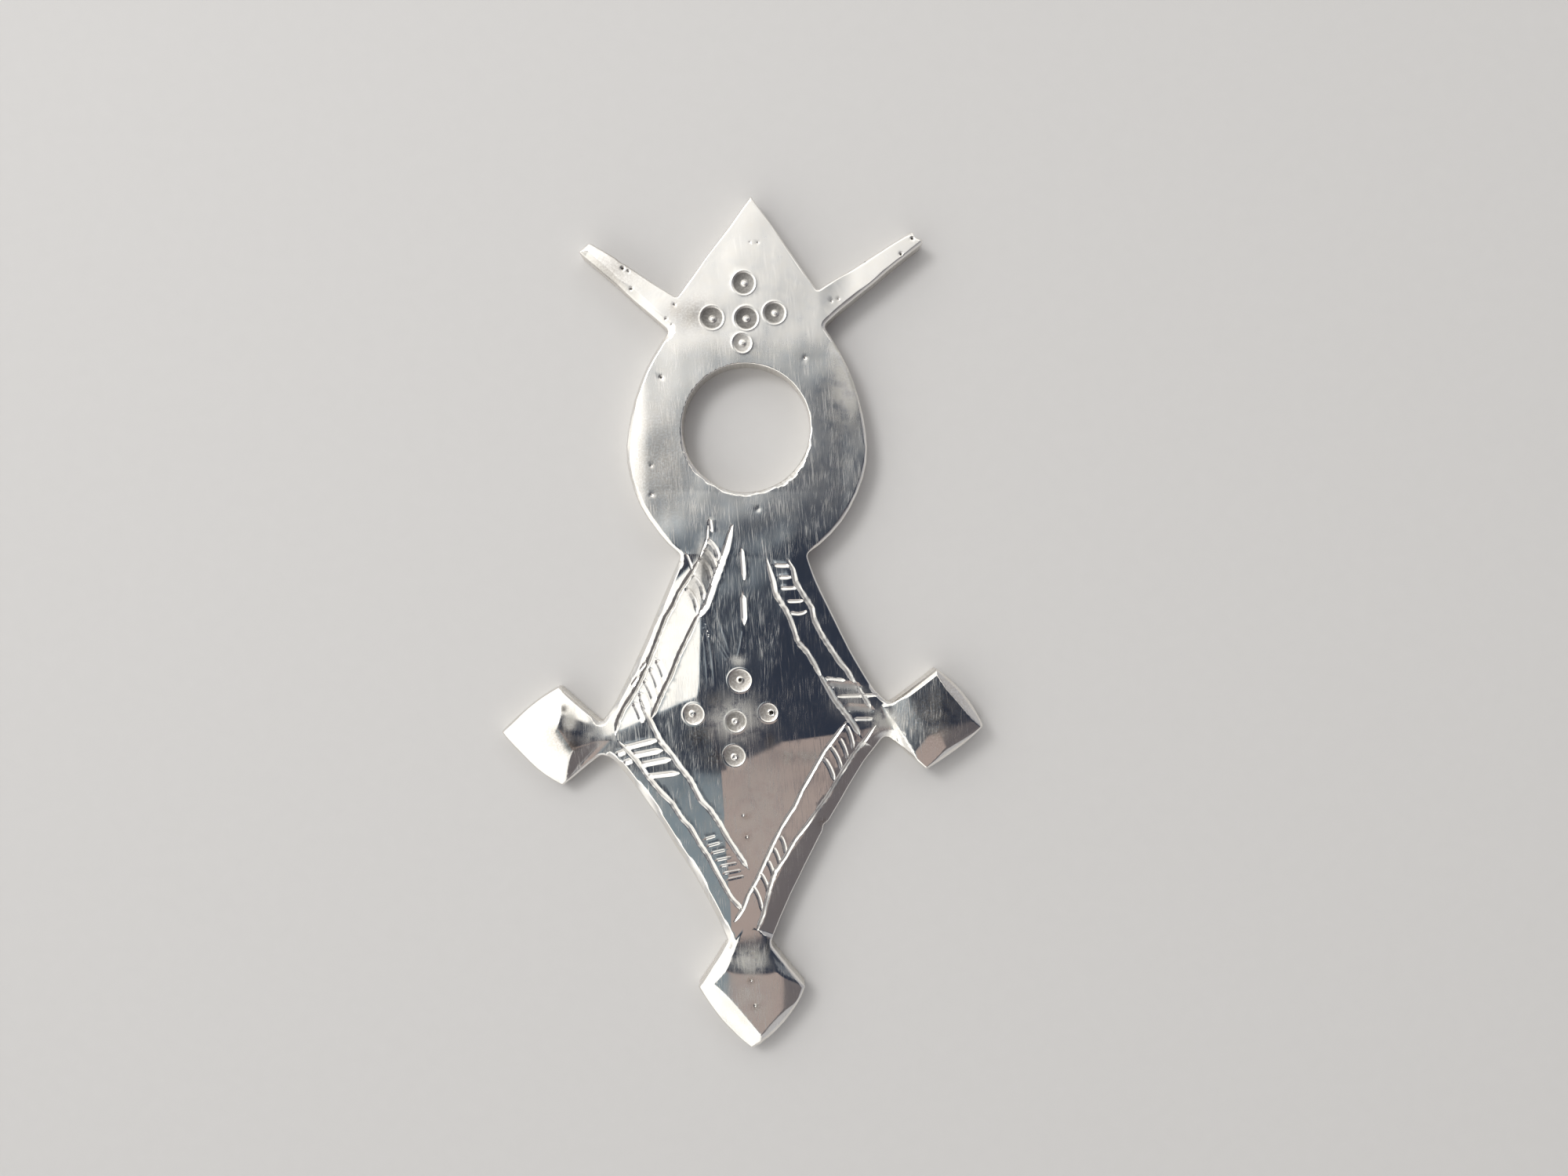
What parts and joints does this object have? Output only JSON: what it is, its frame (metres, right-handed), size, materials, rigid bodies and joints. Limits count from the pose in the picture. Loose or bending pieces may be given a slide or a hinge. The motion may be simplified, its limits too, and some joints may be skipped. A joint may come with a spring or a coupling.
{
  "type": "tuareg cross pendant",
  "caption": "Flat cast silver cross pendant: pointed head with two horns, round cord ring, kite-shaped engraved body and pyramid finials.",
  "frame": {"origin": "centre of the round cord hole, on the flat back face", "axes": "+Y from the body towards the pointed head, +Z out of the decorated face, +X to the right when the face is looked at with the head up"},
  "size_m": [0.0339, 0.0599, 0.0024],
  "materials": {
    "silver": "worn, hand-filed and softly polished silver, darker in the punched and cut marks"
  },
  "bodies": {
    "root": {"cross": "silver"}
  },
  "joints": []
}
